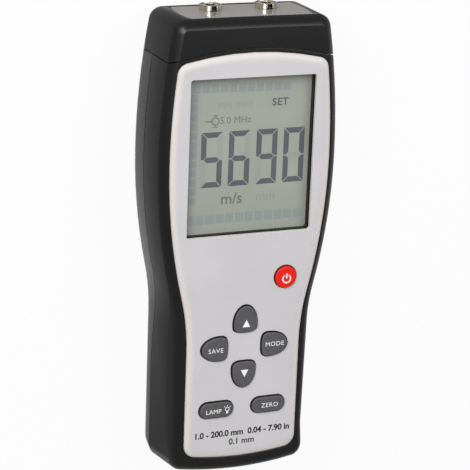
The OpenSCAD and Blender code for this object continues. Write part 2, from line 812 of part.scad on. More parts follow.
module case_screws() {
  color(steel) at_each(concat(top_bosses, mid_bosses)) translate([0, 0, boss_seat])
    screw(screw_d, screw_head_d, screw_head_h, board_z - boss_seat - 1);
}

// Places a socket piece: its axis runs along Y, with 0 at the panel's face
module at_socket(s) {
  translate([s * socket_x, y_top, socket_z]) rotate([-90, 0, 0]) children();
}

module socket_nut(s) {
  color(nickel) at_socket(s) difference() {
    cylinder(d = nut_d, h = nut_h);
    translate([0, 0, -cut_over]) cylinder(d = barrel_d + 0.1, h = nut_h + 2 * cut_over);
    translate([-slot_w / 2, -nut_d, nut_h * 0.3]) cube([slot_w, 2 * nut_d, nut_h]);
    translate([0, 0, nut_h * 0.3]) cylinder(d = barrel_d + 0.6, h = nut_h);
  }
}

module socket_shell(s) {
  shoulder_z = -cap_top_t - 1.25;
  color(nickel) at_socket(s) difference() {
    union() {
      translate([0, 0, barrel_low - y_top]) cylinder(d = barrel_d, h = barrel_top - barrel_low);
      translate([0, 0, shoulder_z]) cylinder(d = flange_d, h = 1.2);
    }
    translate([0, 0, insulator_y - y_top]) cylinder(d = socket_bore, h = bore_depth + cut_over);
    translate([0, 0, barrel_low - y_top - cut_over])
      cylinder(d = socket_bore - 1.2, h = barrel_top - barrel_low);
  }
}

module socket_insulator(s) {
  contact_d = 1.6;
  color("#e9e6dc") at_socket(s) difference() {
    translate([0, 0, barrel_low - y_top]) cylinder(d = socket_bore - 1.2, h = insulator_y - barrel_low);
    translate([0, 0, barrel_low - y_top - cut_over])
      cylinder(d = contact_d, h = insulator_y - barrel_low + 2 * cut_over);
  }
}

// Centre contact: a split sleeve that ends level with the insulator, with a solder tail
module socket_contact(s) {
  contact_d = 1.6;
  color("#d9b65a") at_socket(s) difference() {
    translate([0, 0, barrel_low - y_top - 1.5]) cylinder(d = contact_d, h = insulator_y - barrel_low + 1.5);
    translate([0, 0, insulator_y - y_top - 2.5]) cylinder(d = 0.9, h = 3);
  }
}

module socket_nut_left() { socket_nut(-1); }
module socket_nut_right() { socket_nut(1); }
module socket_shell_left() { socket_shell(-1); }
module socket_shell_right() { socket_shell(1); }
module socket_insulator_left() { socket_insulator(-1); }
module socket_insulator_right() { socket_insulator(1); }
module socket_contact_left() { socket_contact(-1); }
module socket_contact_right() { socket_contact(1); }

// Leads from the solder tails to the back of the main board
module socket_leads() {
  tail_y = barrel_low - 1.5;
  run = tail_y - (frame_high - 4) - lead_bend;
  color("#2a2a30") for (s = [-1, 1]) translate([s * socket_x, tail_y, socket_z]) {
    rotate([90, 0, 0]) cylinder(d = lead_d, h = run);
    translate([0, -run, lead_bend]) rotate([0, 90, 0]) rotate([0, 0, -90]) rotate_extrude(angle = 90)
      translate([lead_bend, 0]) circle(d = lead_d);
    translate([0, -run - lead_bend, lead_bend]) cylinder(d = lead_d, h = board_z - socket_z - lead_bend);
  }
}

module battery_door() {
  tongue_z = door_top + tongue_gap;
  grip_w = 14;
  color(black_plastic) difference() {
    union() {
      intersection() {
        translate([-door_w / 2, y_end, door_lift]) cube([door_w, door_high - y_end, door_t]);
        end_round();
      }
      for (s = [-1, 1], y = tongue_ys) translate([0, y - tongue_len / 2, 0]) {
        translate([s * (door_w / 2 - tongue_rib / 2 - 0.2) - tongue_rib / 2, 0, door_top - 0.2])
          cube([tongue_rib, tongue_len, tongue_gap + tongue_t + 0.2]);
        translate([s * (door_w / 2 + tongue_out / 2 - 0.35) - tongue_out / 2 - 0.35, 0, tongue_z])
          cube([tongue_out + 0.7, tongue_len, tongue_t]);
      }
    }
    for (k = [0:2]) translate([-grip_w / 2, bay_low + 4 + 3 * k, -cut_over])
      cube([grip_w, 1.2, door_lift + 0.6 + cut_over]);
  }
}

// The lower end's bowed and rounded edge, as a round dish
module end_round() {
  translate([0, y_end + end_r, 0]) rotate_extrude($fn = 360) polygon(concat([[0, 0]],
    [for (i = [0:8]) let (t = 90 * i / 8)
      [end_r - back_r * (1 - sin(t)), back_r * (1 - cos(t))]],
    [[end_r, 2 * back_r], [0, 2 * back_r]]));
}

// A cell with its button towards +Y, or towards -Y where flip is set
module cell(i) {
  flip = i % 2;
  button = 0.8;
  mid = bay_low + (flip ? plate_room : spring_len) + cell_len / 2;
  color("#3d6ea5") translate([(i - 1.5) * cell_pitch, mid, cell_z]) rotate([flip ? 90 : -90, 0, 0])
    translate([0, 0, -cell_len / 2]) {
      cylinder(d = cell_d, h = cell_len - button);
      cylinder(d = 3.8, h = cell_len);
    }
}

module cell_1() { cell(0); }
module cell_2() { cell(1); }
module cell_3() { cell(2); }
module cell_4() { cell(3); }

module contact_base() {
  translate([-contact_size / 2, -contact_size / 2, 0]) cube([contact_size, contact_size, contact_t]);
}

// Flat contacts at the button ends, each with a raised pad
module contact_plates() {
  color(steel) for (i = [0:3]) let (flip = i % 2)
    translate([(i - 1.5) * cell_pitch, flip ? bay_low : bay_high, cell_z]) rotate([flip ? -90 : 90, 0, 0]) {
      contact_base();
      cylinder(d = contact_size / 2, h = plate_room);
    }
}

// Leaf springs at the flat ends, each a strip bent to a bow
module contact_springs() {
  strip = contact_size / 2;
  foot = contact_size / 2;
  flat_w = 1.2;
  color(steel) for (i = [0:3]) let (flip = i % 2)
    translate([(i - 1.5) * cell_pitch, flip ? bay_high : bay_low, cell_z]) rotate([flip ? 90 : -90, 0, 0]) {
      contact_base();
      translate([-strip / 2, 0, 0]) rotate([90, 0, 90]) linear_extrude(strip)
        polygon([[-foot, 0], [-flat_w, spring_len], [flat_w, spring_len], [foot, 0],
          [foot - contact_t, 0], [flat_w - contact_t / 2, spring_len - contact_t],
          [contact_t / 2 - flat_w, spring_len - contact_t], [contact_t - foot, 0]]);
    }
}

rear_housing();
front_housing();
top_cap();
connector_panel();
faceplate();
lcd_frame();
lcd_window();
lcd_glass();
lcd_backlight();
zebra_strips();
main_board();
main_chip();
board_parts();
key_board();
board_header();
keypad_mat();
board_screws();
power_key();
up_key();
down_key();
left_key();
right_key();
lamp_key();
zero_key();
socket_nut_left();
socket_nut_right();
socket_shell_left();
socket_shell_right();
socket_insulator_left();
socket_insulator_right();
socket_contact_left();
socket_contact_right();
socket_leads();
battery_door();
cell_1();
cell_2();
cell_3();
cell_4();
contact_plates();
contact_springs();
case_screws();
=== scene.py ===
import json
import math

import bmesh
import bpy
from mathutils import Matrix, Vector

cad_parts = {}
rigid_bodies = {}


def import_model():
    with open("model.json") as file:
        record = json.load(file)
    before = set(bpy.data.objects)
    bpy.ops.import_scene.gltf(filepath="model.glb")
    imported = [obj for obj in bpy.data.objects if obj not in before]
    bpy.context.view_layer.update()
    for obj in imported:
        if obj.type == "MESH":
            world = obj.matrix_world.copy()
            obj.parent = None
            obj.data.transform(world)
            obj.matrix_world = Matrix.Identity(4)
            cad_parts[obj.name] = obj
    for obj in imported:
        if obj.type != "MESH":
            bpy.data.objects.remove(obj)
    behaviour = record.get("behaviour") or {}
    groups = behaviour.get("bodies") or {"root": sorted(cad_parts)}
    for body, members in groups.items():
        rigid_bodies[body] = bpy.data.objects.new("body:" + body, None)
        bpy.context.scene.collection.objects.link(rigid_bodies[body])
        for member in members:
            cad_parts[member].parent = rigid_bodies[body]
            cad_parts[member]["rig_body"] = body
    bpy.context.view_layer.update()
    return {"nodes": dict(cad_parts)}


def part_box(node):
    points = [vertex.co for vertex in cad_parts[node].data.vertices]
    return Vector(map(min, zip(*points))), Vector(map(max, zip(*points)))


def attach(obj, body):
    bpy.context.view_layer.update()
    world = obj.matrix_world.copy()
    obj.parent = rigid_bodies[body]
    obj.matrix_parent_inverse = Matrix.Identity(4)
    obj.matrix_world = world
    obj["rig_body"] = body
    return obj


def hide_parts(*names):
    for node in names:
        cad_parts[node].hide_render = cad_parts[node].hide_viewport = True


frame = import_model()

# Rear housing
# The lower half of the case: a black ABS shell, moulded with a fine spark finish and open
# at the back for the cells. Four screws pull the front housing down onto it.
MM = 0.001


def linear(code):
    """A colour written as sRGB hex, as the linear colour that a shader takes."""
    parts = [int(code[i:i + 2], 16) / 255 for i in (1, 3, 5)]
    return [p / 12.92 if p <= 0.04045 else ((p + 0.055) / 1.055) ** 2.4 for p in parts] + [1.0]


def add(material, kind, inputs=None, **settings):
    """One node of a material, with its settings, and its inputs set or linked."""
    made = material.node_tree.nodes.new(kind)
    for name, value in settings.items():
        setattr(made, name, value)
    for name, value in (inputs or {}).items():
        if isinstance(value, bpy.types.NodeSocket):
            material.node_tree.links.new(value, made.inputs[name])
        else:
            made.inputs[name].default_value = value
    return made


def moulded(name, dark, light, grain_mm, rough, relief_mm, ior=1.5, sheen=0.0):
    """A moulded plastic or rubber: broad tone changes, a fine grain and the gloss that it breaks up."""
    flow_mm = 22.0
    rough_spread = 0.05
    relief_strength = 0.4
    sheen_rough = 0.3
    skin = bpy.data.materials.new(name)
    skin.use_nodes = True
    skin.node_tree.nodes.clear()
    place = add(skin, "ShaderNodeTexCoord").outputs["Object"]
    flow = add(skin, "ShaderNodeTexNoise", {"Vector": place, "Scale": 1 / (flow_mm * MM)})
    grain = add(skin, "ShaderNodeTexNoise", {"Vector": place, "Scale": 1 / (grain_mm * MM), "Detail": 3.0})
    tone = add(skin, "ShaderNodeValToRGB", {"Fac": flow.outputs["Fac"]})
    for stop, (position, code) in enumerate([(0.3, dark), (0.7, light)]):
        tone.color_ramp.elements[stop].position = position
        tone.color_ramp.elements[stop].color = linear(code)
    gloss = add(skin, "ShaderNodeMapRange", {
        "Value": grain.outputs["Fac"],
        "To Min": rough - rough_spread,
        "To Max": rough + rough_spread,
    })
    relief = add(skin, "ShaderNodeBump", {
        "Height": grain.outputs["Fac"],
        "Strength": relief_strength,
        "Distance": relief_mm * MM,
    })
    surface = add(skin, "ShaderNodeBsdfPrincipled", {
        "Base Color": tone.outputs["Color"],
        "Roughness": gloss.outputs["Result"],
        "IOR": ior,
        "Sheen Weight": sheen,
        "Sheen Roughness": sheen_rough,
        "Normal": relief.outputs["Normal"],
    })
    add(skin, "ShaderNodeOutputMaterial", {"Surface": surface.outputs["BSDF"]})
    return skin


def dressed(node, piece_name, finish, sharp=28, edge_mm=0.0):
    """A smooth-shaded copy of a CAD solid that stands for it, with its hard edges softened by edge_mm."""
    weld = 0.003 * MM
    flat_angle = math.radians(0.15)
    edge_angle = math.radians(40)
    solid = bmesh.new()
    solid.from_mesh(frame["nodes"][node].data)
    bmesh.ops.remove_doubles(solid, verts=solid.verts, dist=weld)
    bmesh.ops.dissolve_limit(solid, angle_limit=flat_angle, verts=solid.verts, edges=solid.edges)
    mesh = bpy.data.meshes.new(piece_name)
    solid.to_mesh(mesh)
    solid.free()
    mesh.shade_smooth()
    mesh.set_sharp_from_angle(angle=math.radians(sharp))
    mesh.materials.append(finish)
    piece = bpy.data.objects.new(piece_name, mesh)
    bpy.context.scene.collection.objects.link(piece)
    if edge_mm:
        soft = piece.modifiers.new("softened_edges", "BEVEL")
        soft.width = edge_mm * MM
        soft.segments = 2
        soft.limit_method = "ANGLE"
        soft.angle_limit = edge_angle
        soft.use_clamp_overlap = True
    even = piece.modifiers.new("even_normals", "WEIGHTED_NORMAL")
    even.keep_sharp = True
    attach(piece, frame["nodes"][node]["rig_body"])
    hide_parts(node)
    return piece


def share(value, span):
    """How far a value has come along a span, from 0 to 1."""
    return min(1.0, max(0.0, (value - span[0]) / (span[1] - span[0])))


# At the lower end the walls draft away from the parting line, so the end is straighter there.
lower_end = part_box("rear_housing")[0].y
part_low, part_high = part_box("front_housing")
end_bow = 110.0 * MM
draft_y = (lower_end + 22.65 * MM, lower_end + 8.65 * MM)
draft_back = (1.0 * MM, part_low.z + 0.2 * MM)
draft_front = (part_high.z - 0.3 * MM, part_high.z - 16.3 * MM)


def draft(piece):
    """Runs out the bow of the lower end towards the parting line."""
    for point in piece.data.vertices:
        x, y, z = point.co
        full = share(y, draft_y) * share(z, draft_back) * share(z, draft_front)
        point.co.y -= full * x * x / (2 * end_bow)


# ABS from a spark-eroded mould is a soft black that never mirrors. The grain is about 0.1 mm and is
# drawn at 0.4 mm so that it shows. The rear shell is the rougher one, and looks paler seen edge on.
rear_abs = moulded("black_abs_rear_spark_finish", "#0e0e0f", "#121213", 0.4, 0.33, 0.004, 1.48, 0.8)
# Edges of the shells that turn more than this stay crisp, such as those of their 45 degree chamfers.
shell_sharp = 38
rear_shell = dressed("rear_housing", "rear_housing_shell", rear_abs, shell_sharp)
draft(rear_shell)

# Battery door
# A black ABS door that slides in the back of the grip on six tongues and lifts off after
# its travel. Three moulded grooves give the thumb a hold.
door_panel = dressed("battery_door", "battery_door_panel", rear_abs)
draft(door_panel)

# Cells and contacts
# Four AAA cells in a row, each a steel can in a printed film jacket, held between
# nickel-plated steel plates and leaf springs at the ends of the bay.


def clad(finish, *nodes):
    """Gives CAD solids a material in place of the plain colour they came with."""
    for node in nodes:
        frame["nodes"][node].data.materials.clear()
        frame["nodes"][node].data.materials.append(finish)


def plated(name, tint, rough, brush_mm):
    """A plated metal: one tint, with fine turning or rolling marks in its gloss."""
    rough_spread = (-0.04, 0.06)
    coat = bpy.data.materials.new(name)
    coat.use_nodes = True
    coat.node_tree.nodes.clear()
    place = add(coat, "ShaderNodeTexCoord").outputs["Object"]
    marks = add(coat, "ShaderNodeTexNoise", {"Vector": place, "Scale": 1 / (brush_mm * MM), "Detail": 2.0})
    gloss = add(coat, "ShaderNodeMapRange", {
        "Value": marks.outputs["Fac"],
        "To Min": rough + rough_spread[0],
        "To Max": rough + rough_spread[1],
    })
    surface = add(coat, "ShaderNodeBsdfPrincipled", {
        "Base Color": linear(tint),
        "Metallic": 1.0,
        "Roughness": gloss.outputs["Result"],
    })
    add(coat, "ShaderNodeOutputMaterial", {"Surface": surface.outputs["BSDF"]})
    return coat


# The printed film is smooth and half glossy, in one plain blue.
cell_film = moulded("printed_cell_film", "#365f92", "#44729f", 0.8, 0.28, 0.002)
# Nickel on rolled steel is a cool bright grey, with a slight blur from the rolling.
rolled_steel = plated("nickel_plated_steel", "#b9bcc0", 0.28, 0.5)
clad(cell_film, "cell_1", "cell_2", "cell_3", "cell_4")
clad(rolled_steel, "contact_plates", "contact_springs", "case_screws", "board_screws")

# Circuit boards
# Two glass-epoxy boards with green solder mask, one behind the display and one behind the
# keys, joined by a pin header. The chip and the larger components hang from the main board.

# Solder mask is a glossy lacquer whose green shifts a little over the weave of the board.
solder_mask = moulded("green_solder_mask", "#28603d", "#33724b", 1.2, 0.3, 0.01)
# Moulded chip epoxy is a dull black with a sandy grain.
chip_epoxy = moulded("black_chip_epoxy", "#1a1a1c", "#212123", 0.5, 0.5, 0.006)
# Dipped lacquer is smooth and amber, and pools a little unevenly.
coil_lacquer = moulded("amber_coil_lacquer", "#86723f", "#977f4b", 0.7, 0.35, 0.01)
clad(solder_mask, "main_board", "key_board")
clad(chip_epoxy, "main_chip", "board_header")
clad(coil_lacquer, "board_parts")

# Front housing
# The upper half of the case, in black ABS too. Its rim has a rounded bevel round the
# head that grows into a soft edge along the grip, and the faceplate drops into it.

# The front shell has the finer spark finish, and stays an even soft black from any side.
black_abs = moulded("black_abs_spark_finish", "#0e0e0f", "#121213", 0.4, 0.33, 0.004, 1.48, 0.2)
front_shell = dressed("front_housing", "front_housing_shell", black_abs, shell_sharp)

# The moulded walls are slightly crowned, so their shading turns up before the bevel begins.
wall_lean = math.radians(12)
low_lean = math.radians(17)
# Faces are told apart by the z of their normals, as walls, the low part of a bevel or flat fronts,
# and those of the seam by how far they look along Y.
wall_up = 0.035
low_up = 0.22
flat_up = 0.995
seam_look = 0.3


def leaning(across, angle):
    """A normal that looks along a level direction, turned up by an angle."""
    return (across * math.cos(angle)).to_3d() + Vector((0, 0, math.sin(angle)))


def crown_walls(piece, seam):
    """Evens the normals of a shell's bevels and turns those along its walls' front edge up.

    Nothing moves. Faces that look along seam, plus or minus one on Y, are the seam's own and stay.
    """
    bpy.context.view_layer.update()
    graph = bpy.context.evaluated_depsgraph_get()
    mesh = bpy.data.meshes.new_from_object(piece.evaluated_get(graph), depsgraph=graph)
    mesh.name = piece.name
    shape = bmesh.new()
    shape.from_mesh(mesh)
    wall, low, bevel, flat = set(), set(), set(), set()
    turned = []
    even = {}
    for face in shape.faces:
        spots = [v.index for v in face.verts]
        up = face.normal.z
        if up >= flat_up:
            flat.update(spots)
        outer = face.normal.xy.dot(face.calc_center_median().xy) > 0
        if outer and face.normal.y * seam < seam_look and -wall_up < up < flat_up:
            steep = wall if up < wall_up else low if up < low_up else bevel
            steep.update(spots)
            turned.append(face.index)
            for corner in face.loops:
                spot = corner.vert.index
                even[spot] = even.get(spot, Vector()) + face.normal * corner.calc_angle()
    shape.free()
    normals = [corner.vector.copy() for corner in mesh.corner_normals]
    for index in turned:
        for corner in mesh.polygons[index].loop_indices:
            spot = mesh.loops[corner].vertex_index
            across = even[spot].xy.normalized()
            if spot in wall and (spot in low or spot in bevel):
                normals[corner] = leaning(across, wall_lean)
            elif spot in low and spot in bevel:
                normals[corner] = leaning(across, low_lean)
            elif spot in bevel and spot not in flat:
                normals[corner] = even[spot].normalized()
    mesh.normals_split_custom_set(normals)
    piece.modifiers.clear()
    piece.data = mesh


# Towards its lower end the grip's front edge draws in a little on both sides.
draw_in = 1.0 * MM
draw_y = (lower_end + 24.65 * MM, lower_end + 10.65 * MM)
draw_z = (part_high.z - 16.3 * MM, part_high.z - 7.3 * MM)
draw_x = (21.0 * MM, 27.0 * MM)
for point in front_shell.data.vertices:
    x, y, z = point.co
    drawn = draw_in * share(y, draw_y) * share(z, draw_z) * share(abs(x), draw_x)
    point.co.x -= math.copysign(drawn, x)
crown_walls(front_shell, 1)
draft(front_shell)

# Display
# A liquid crystal cell behind a clear acrylic lens, set in a black moulded frame. The grey
# green ground is its reflecting polariser; unlit segments still show faintly, as in any such cell.

# The frame's plastic is matt and nearly black, so that its walls read as shadow round the picture.
frame_black = moulded("matt_black_frame_plastic", "#0c0c0d", "#101011", 0.5, 0.6, 0.01)
# Frosted acrylic is milky white and evenly dull.
guide_acrylic = moulded("frosted_light_guide_acrylic", "#e6e8e4", "#f0f2ee", 1.0, 0.45, 0.01)
# The strips are layers of clear and carbon-filled silicone, too fine to tell apart: a dull dark grey.
strip_rubber = moulded("banded_silicone_strip", "#303036", "#45454c", 0.4, 0.6, 0.01)
# The film over its reflector is a calm grey green with a silky gloss and no grain.
polariser = moulded("grey_green_polariser_film", "#a5a69f", "#adaea7", 6.0, 0.42, 0.001)
clad(guide_acrylic, "lcd_backlight")
clad(strip_rubber, "zebra_strips")
clad(polariser, "lcd_glass")
dressed("lcd_frame", "lcd_frame_wall", frame_black)

# Cast acrylic is clear and glossy. It is drawn as a clear film with the gloss of its front, so that
# light reaches the display. Its IOR is set under acrylic's 1.49, as if the lens had a dulling coat.
clear_acrylic = bpy.data.materials.new("clear_cast_acrylic")
clear_acrylic.use_nodes = True
clear_acrylic.node_tree.nodes.clear()
lens_rough = 0.05
lens_ior = 1.3
lens_rays = add(clear_acrylic, "ShaderNodeBsdfTransparent", {"Color": linear("#fcfdfc")})
lens_gloss = add(clear_acrylic, "ShaderNodeBsdfGlossy", {"Roughness": lens_rough})
lens_share = add(clear_acrylic, "ShaderNodeFresnel", {"IOR": lens_ior})
lens_side = add(clear_acrylic, "ShaderNodeNewGeometry")
lens_front = add(clear_acrylic, "ShaderNodeMath", {
    0: 1.0,
    1: lens_side.outputs["Backfacing"],
}, operation="SUBTRACT")
lens_mirror = add(clear_acrylic, "ShaderNodeMath", {
    0: lens_share.outputs["Fac"],
    1: lens_front.outputs["Value"],
}, operation="MULTIPLY")
lens_sheet = add(clear_acrylic, "ShaderNodeMixShader", {
    0: lens_mirror.outputs["Value"],
    1: lens_rays.outputs["BSDF"],
    2: lens_gloss.outputs["BSDF"],
})
add(clear_acrylic, "ShaderNodeOutputMaterial", {"Surface": lens_sheet.outputs["Shader"]})
clad(clear_acrylic, "lcd_window")

# Lit segments are a dark violet grey, half-lit signs paler, and unlit ones a breath bluer than the
# ground. All lie behind the same film and share its silky gloss.
lit_segment = moulded("lit_liquid_crystal", "#5f5f68", "#65656e", 5.0, 0.42, 0.001)
word_segment = moulded("half_lit_liquid_crystal", "#75777c", "#7b7d81", 5.0, 0.42, 0.001)
dim_segment = moulded("unlit_liquid_crystal", "#969d9f", "#9ba1a3", 5.0, 0.42, 0.001)
ghost_segment = moulded("faint_unlit_liquid_crystal", "#9fa29f", "#a5a8a4", 5.0, 0.42, 0.001)
lens_low, lens_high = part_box("lcd_window")
picture_left = lens_low.x + 2.6 * MM
picture_top = lens_high.y - 2.1 * MM
picture_w = 46.0 * MM
picture_h = 55.9 * MM
film_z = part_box("lcd_glass")[1].z + 0.01 * MM
film_t = 0.02 * MM


def on_display(across, down):
    """A place on the display, as shares of its picture from the upper left corner."""
    return Vector((picture_left + across * picture_w, picture_top - down * picture_h, film_z))


def settle(shape, name, finish, body):
    """Makes an object of a finished bmesh and sets it on a body."""
    bmesh.ops.recalc_face_normals(shape, faces=shape.faces)
    mesh = bpy.data.meshes.new(name)
    shape.to_mesh(mesh)
    shape.free()
    mesh.materials.append(finish)
    piece = bpy.data.objects.new(name, mesh)
    bpy.context.scene.collection.objects.link(piece)
    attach(piece, body)


def thicken(shape, depth):
    """Raises the flat faces of a shape into thin closed slabs."""
    grown = bmesh.ops.extrude_face_region(shape, geom=shape.faces[:], use_keep_orig=True)
    lifted = [v for v in grown["geom"] if isinstance(v, bmesh.types.BMVert)]
    bmesh.ops.translate(shape, verts=lifted, vec=(0, 0, depth))


digit_w = 7.9 * MM
digit_h = 19.8 * MM
digit_pitch = 10.3 * MM
bar_w = 1.95 * MM
bar_gap = 0.2 * MM
number_at = on_display(0.092, 0.685)
# Segments by name: a runs along the top, then clockwise to f, and g is the middle.
figures = {"5": "afgcd", "6": "afgedc", "9": "abcdfg", "0": "abcdef"}


def segment(shape, name):
    """One flat segment of a figure, with its lower left corner at the origin."""
    w, h, t, e = digit_w, digit_h, bar_w, bar_gap
    half = h / 2
    top = [(e, h), (w - e, h), (w - t - e, h - t), (t + e, h - t)]
    side = [(0, h - e), (0, half + e), (t / 2, half + e), (t, half + t / 2 + e), (t, h - t - e)]
    outlines = {
        "a": top,
        "b": [(w - x, y) for x, y in side],
        "c": [(w - x, h - y) for x, y in side],
        "d": [(x, h - y) for x, y in top],
        "e": [(x, h - y) for x, y in side],
        "f": side,
        "g": [(t / 2 + e, half), (t + e, half + t / 2), (w - t - e, half + t / 2),
              (w - t / 2 - e, half), (w - t - e, half - t / 2), (t + e, half - t / 2)],
    }
    return shape.faces.new([shape.verts.new((x, y, 0)) for x, y in outlines[name]])


lit = bmesh.new()
ghost = bmesh.new()
for place, figure in enumerate("5690"):
    for name in "abcdefg":
        target = lit if name in figures[figure] else ghost
        face = segment(target, name)
        bmesh.ops.translate(target, verts=face.verts, vec=number_at + Vector((place * digit_pitch, 0, 0)))
thicken(lit, film_t)
thicken(ghost, film_t)
settle(lit, "lcd_figures", lit_segment, "case")
settle(ghost, "lcd_unlit_figures", ghost_segment, "case")


def patch(shape, x, y, w, h, turn=0):
    """Adds a flat oblong to a shape: its middle, its width and height, and its turn in degrees."""
    oblong = bmesh.ops.create_grid(shape, x_segments=1, y_segments=1, size=0.5)["verts"]
    bmesh.ops.scale(shape, verts=oblong, vec=(w, h, 1))
    bmesh.ops.rotate(shape, verts=oblong, matrix=Matrix.Rotation(math.radians(turn), 3, "Z"))
    bmesh.ops.translate(shape, verts=oblong, vec=(x, y, 0))


def hoop(shape, radius, hole, segments):
    """Adds a flat ring to a shape, with its hole as a share of its radius."""
    rim = bmesh.ops.create_circle(shape, segments=segments, radius=radius, cap_ends=False)["verts"]
    bmesh.ops.extrude_edge_only(shape, edges=shape.edges[:])
    bmesh.ops.scale(shape, verts=[v for v in shape.verts if v not in rim], vec=(hole, hole, 1))


# Rows of small unlit blocks run along the top, the left and the bottom of the glass. Each row has
# its count, its first place and its step as shares of the picture, and its blocks' size in millimetres.
block_rows = [
    (11, (0.046, 0.052), (0.0725, 0.0008), (2.7, 3.1)),
    (12, (0.030, 0.112), (0.0, 0.0595), (2.6, 2.9)),
    (12, (0.020, 0.893), (0.0800, 0.0), (3.1, 3.5)),
]
dim = bmesh.new()
for count, first, step, size in block_rows:
    for i in range(count):
        spot = on_display(first[0] + i * step[0], first[1] + i * step[1])
        patch(dim, spot.x, spot.y, size[0] * MM, size[1] * MM)
bmesh.ops.translate(dim, verts=dim.verts, vec=(0, 0, film_z))
thicken(dim, film_t)
settle(dim, "lcd_unlit_blocks", dim_segment, "case")

# The small probe sign beside the frequency: a ring, with its lead and two ticks as bars. Each bar
# has its middle, its width and its height in millimetres.
probe_r = 1.5 * MM
probe_hole = 0.72
probe_bars = [(-2.6, 0.0, 2.4, 0.45), (0.0, -2.0, 1.6, 0.45), (0.0, 2.0, 1.6, 0.45)]
sign = bmesh.new()
hoop(sign, probe_r, probe_hole, 24)
for x, y, w, h in probe_bars:
    patch(sign, x * MM, y * MM, w * MM, h * MM)
bmesh.ops.translate(sign, verts=sign.verts, vec=on_display(0.2, 0.262))
thicken(sign, film_t)
settle(sign, "lcd_probe_sign", word_segment, "case")


def words(name, text, height, centre, finish, body, bold=0.0, spacing=1.0, depth=film_t):
    """Lettering as a thin closed mesh, its capitals height tall, centred on a place."""
    capital_share = 0.73
    curve = bpy.data.curves.new(name + "_line", "FONT")
    curve.body = text
    curve.align_x = "CENTER"
    curve.align_y = "CENTER"
    curve.size = height / capital_share
    curve.offset = bold
    curve.space_character = spacing
    curve.extrude = depth / 2
    curve.resolution_u = 3
    line = bpy.data.objects.new(name + "_line", curve)
    bpy.context.scene.collection.objects.link(line)
    bpy.context.view_layer.update()
    mesh = bpy.data.meshes.new_from_object(line.evaluated_get(bpy.context.evaluated_depsgraph_get()))
    bpy.data.objects.remove(line)
    mesh.name = name
    mesh.transform(Matrix.Translation(Vector(centre) + Vector((0, 0, depth / 2))))
    mesh.materials.clear()
    mesh.materials.append(finish)
    piece = bpy.data.objects.new(name, mesh)
    bpy.context.scene.collection.objects.link(piece)
    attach(piece, body)


# Each word has its capitals' height in millimetres, its place as shares of the picture, its ink,
# how much bolder it is in millimetres, and the spacing of its letters.
display_words = [
    ("lcd_mode_word", "SET", 2.7, (0.722, 0.162), lit_segment, 0.08, 1.08),
    ("lcd_frequency", "5.0 MHz", 2.5, (0.362, 0.262), word_segment, 0.0, 1.0),
    ("lcd_speed_unit", "m/s", 4.2, (0.352, 0.768), word_segment, 0.06, 1.0),
    ("lcd_unlit_unit", "mm", 3.6, (0.632, 0.765), dim_segment, 0.0, 1.0),
    ("lcd_unlit_words", "MIN  MAX", 2.2, (0.36, 0.165), dim_segment, 0.0, 1.0),
]
for name, text, height, spot, finish, bold, spacing in display_words:
    words(name, text, height * MM, on_display(*spot), finish, "case", bold * MM, spacing)

# Keypad mat and keys
# Silicone keys stand on a silicone mat with one dome below each. Their legends are
# screen printed in white ink on the crowned tops.

# Moulded silicone is matt and even, with a faint bloom where it is broad.
mat_silicone = moulded("grey_silicone_mat", "#858588", "#97979a", 0.6, 0.6, 0.01)
key_silicone = moulded("dark_grey_silicone", "#525254", "#59595b", 0.5, 0.50, 0.006, 1.43)
# The red key is pigmented through and a little glossier than the grey ones.
power_silicone = moulded("red_silicone", "#ea1a0a", "#f02010", 0.5, 0.42, 0.006, 1.4)
# A key's sides lie in the narrow gap of its hole. They get a dull, nearly black painted shade for that
# gap, not a colour the silicone has.
painted_shade_key_side = moulded("painted_shade_silicone_side", "#161618", "#1b1b1d", 0.5, 0.6, 0.006, 1.43)
painted_shade_red_key_side = moulded("painted_shade_red_silicone_side", "#7c0d08", "#860f0a", 0.5, 0.6, 0.006, 1.4)
# Screen ink lies flat and opaque, with a soft gloss.
white_ink = moulded("white_screen_ink", "#f0f0f0", "#f8f8f8", 0.3, 0.5, 0.002)
clad(mat_silicone, "keypad_mat")
key_sharp = 40
key_shrink = 0.95
key_top_up = 0.7


def finish_key(key, top, side):
    """Sets a key in place with a little more air round it, and gives its sides a painted shade."""
    cap = dressed(key + "_key", key + "_key_cap", top, key_sharp)
    low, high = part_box(key + "_key")
    middle = (low + high) / 2
    for point in cap.data.vertices:
        point.co.x = middle.x + (point.co.x - middle.x) * key_shrink
        point.co.y = middle.y + (point.co.y - middle.y) * key_shrink
    cap.data.materials.append(side)
    # Faces that look more sideways than up are the sides, and take the painted shade.
    for face in cap.data.polygons:
        if face.normal.z < key_top_up:
            face.material_index = 1


for key in ("up", "down", "left", "right", "lamp", "zero"):
    finish_key(key, key_silicone, painted_shade_key_side)
finish_key("power", power_silicone, painted_shade_red_key_side)
ink_lift = 0.004 * MM
ink_t = 0.02 * MM


def on_key(key, right=0.0, up=0.0):
    """A place on a key's top, in millimetres from the middle of the key."""
    low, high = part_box(key + "_key")
    middle = (low + high) / 2
    return Vector((middle.x + right * MM, middle.y + up * MM, high.z + ink_lift))


# Each legend has its key, its word, its place on the key and the spacing of its letters.
legend_h = 1.75 * MM
legends = [
    ("left", "SAVE", (0.3, -0.4), 1.12),
    ("right", "MODE", (-0.1, 0.1), 1.12),
    ("lamp", "LAMP", (-1.2, -0.5), 1.05),
    ("zero", "ZERO", (0.5, -0.2), 1.12),
]
for key, text, spot, spacing in legends:
    words(key + "_key_legend", text, legend_h, on_key(key, *spot), white_ink, key,
          spacing=spacing, depth=ink_t)

